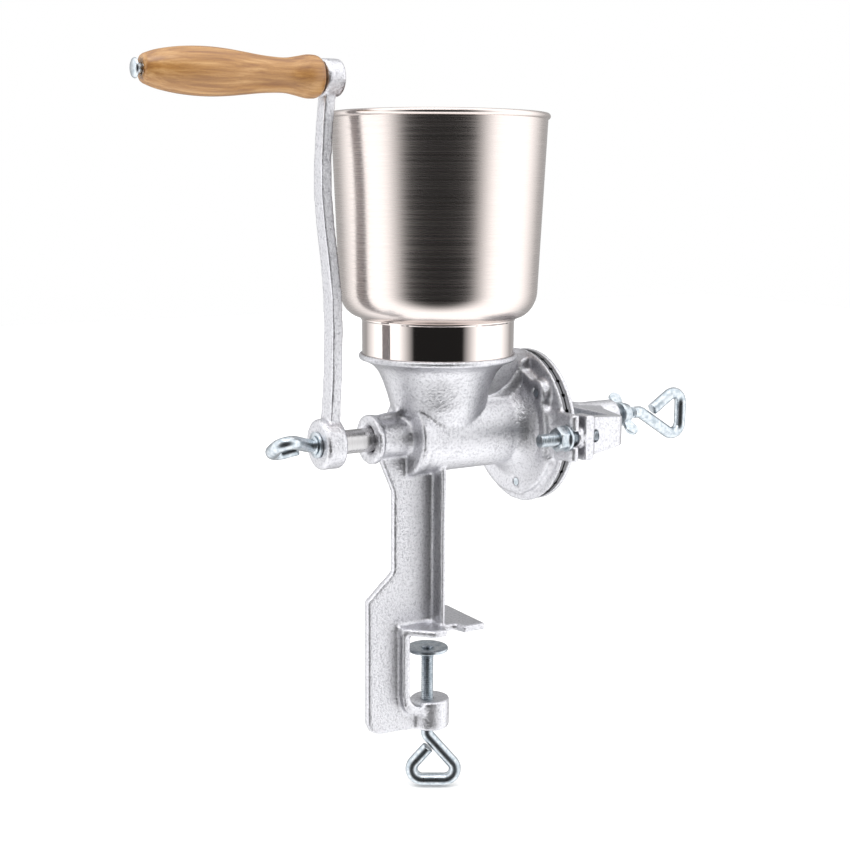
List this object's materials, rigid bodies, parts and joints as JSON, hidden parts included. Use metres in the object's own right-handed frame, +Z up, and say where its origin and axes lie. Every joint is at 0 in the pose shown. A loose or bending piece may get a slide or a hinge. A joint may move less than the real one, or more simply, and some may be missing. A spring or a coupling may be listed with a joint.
{
  "type": "grain mill",
  "caption": "Hand-cranked burr mill: cast body with a table clamp, steel hopper on top, worm and round burrs inside, wooden grip on a long crank.",
  "frame": {"origin": "on the underside of the table plate, where the clamp screw's axis meets it", "axes": "+Z up along the clamp screw, +X along the shaft towards the burrs and the adjusting screw, Y across"},
  "size_m": [0.3898, 0.1312, 0.4506],
  "materials": {
    "tinned_iron": "hot-tinned sand casting, bright and grainy",
    "stainless": "spun sheet, fine satin bowl and polished neck",
    "zinc_plate": "bright zinc plate on steel",
    "turned_steel": "machined",
    "burr_iron": "ground cast iron",
    "beech": "turned beech under clear lacquer"
  },
  "bodies": {
    "mill": {"mill_body": "tinned_iron", "fixed_burr": "burr_iron", "fixed_burr_screws": "zinc_plate", "bridge": "tinned_iron", "bridge_studs": "zinc_plate", "stud_washers": "zinc_plate", "stud_nuts": "zinc_plate"},
    "hopper": {"hopper": "stainless"},
    "ball": {"thrust_ball": "zinc_plate"},
    "rotor": {"auger": "turned_steel", "burr_carrier": "tinned_iron", "drive_pin": "turned_steel", "rotating_burr": "burr_iron", "rotating_burr_screws": "zinc_plate", "crank_arm": "tinned_iron", "grip_bolt": "zinc_plate"},
    "grip": {"grip": "beech"},
    "crank_washer": {"crank_washer": "zinc_plate"},
    "crank_screw": {"crank_thumb_screw": "zinc_plate"},
    "adjuster": {"adjusting_screw": "zinc_plate"},
    "lock_nut": {"lock_wing_nut": "zinc_plate"},
    "clamp_pad": {"clamp_pad": "zinc_plate"},
    "clamp_screw": {"clamp_screw": "zinc_plate"}
  },
  "joints": [
    {"name": "hopper_lift", "type": "slide", "parent": "mill", "child": "hopper", "axis": [0, 0, 1], "range_m": [0, 0.06]},
    {"name": "burr_travel", "type": "slide", "parent": "mill", "child": "ball", "axis": [1, 0, 0], "range_m": [-0.0006, 0.0025]},
    {"name": "crank_turn", "type": "hinge", "parent": "ball", "child": "rotor", "pos_m": [0.006, 0, 0.123], "axis": [1, 0, 0], "continuous": true},
    {"name": "grip_spin", "type": "hinge", "parent": "rotor", "child": "grip", "pos_m": [-0.124, 0, 0.332], "axis": [1, 0, 0], "continuous": true},
    {"name": "crank_screw_travel", "type": "slide", "parent": "rotor", "child": "crank_washer", "axis": [1, 0, 0], "range_m": [-0.01, 0]},
    {"name": "crank_screw_turn", "type": "hinge", "parent": "crank_washer", "child": "crank_screw", "pos_m": [-0.084, 0, 0.123], "axis": [1, 0, 0], "range_deg": [-2881, 1]},
    {"name": "adjuster_turn", "type": "hinge", "parent": "ball", "child": "adjuster", "pos_m": [0.136, 0, 0.123], "axis": [1, 0, 0], "range_deg": [-173.8, 721]},
    {"name": "lock_nut_turn", "type": "hinge", "parent": "adjuster", "child": "lock_nut", "pos_m": [0.152, 0, 0.123], "axis": [1, 0, 0], "range_deg": [-150, 150]},
    {"name": "clamp_travel", "type": "slide", "parent": "mill", "child": "clamp_pad", "axis": [0, 0, 1], "range_m": [-0.031, 0.00313]},
    {"name": "clamp_turn", "type": "hinge", "parent": "clamp_pad", "child": "clamp_screw", "pos_m": [0, 0, -0.06], "axis": [0, 0, 1], "range_deg": [-8929, 901]}
  ],
  "couplings": [
    {"joint": "crank_screw_turn", "follows": "crank_screw_travel", "rad_per_m": 5026.5},
    {"joint": "adjuster_turn", "follows": "burr_travel", "rad_per_m": 5026.5},
    {"joint": "clamp_turn", "follows": "clamp_travel", "rad_per_m": 5026.5}
  ]
}
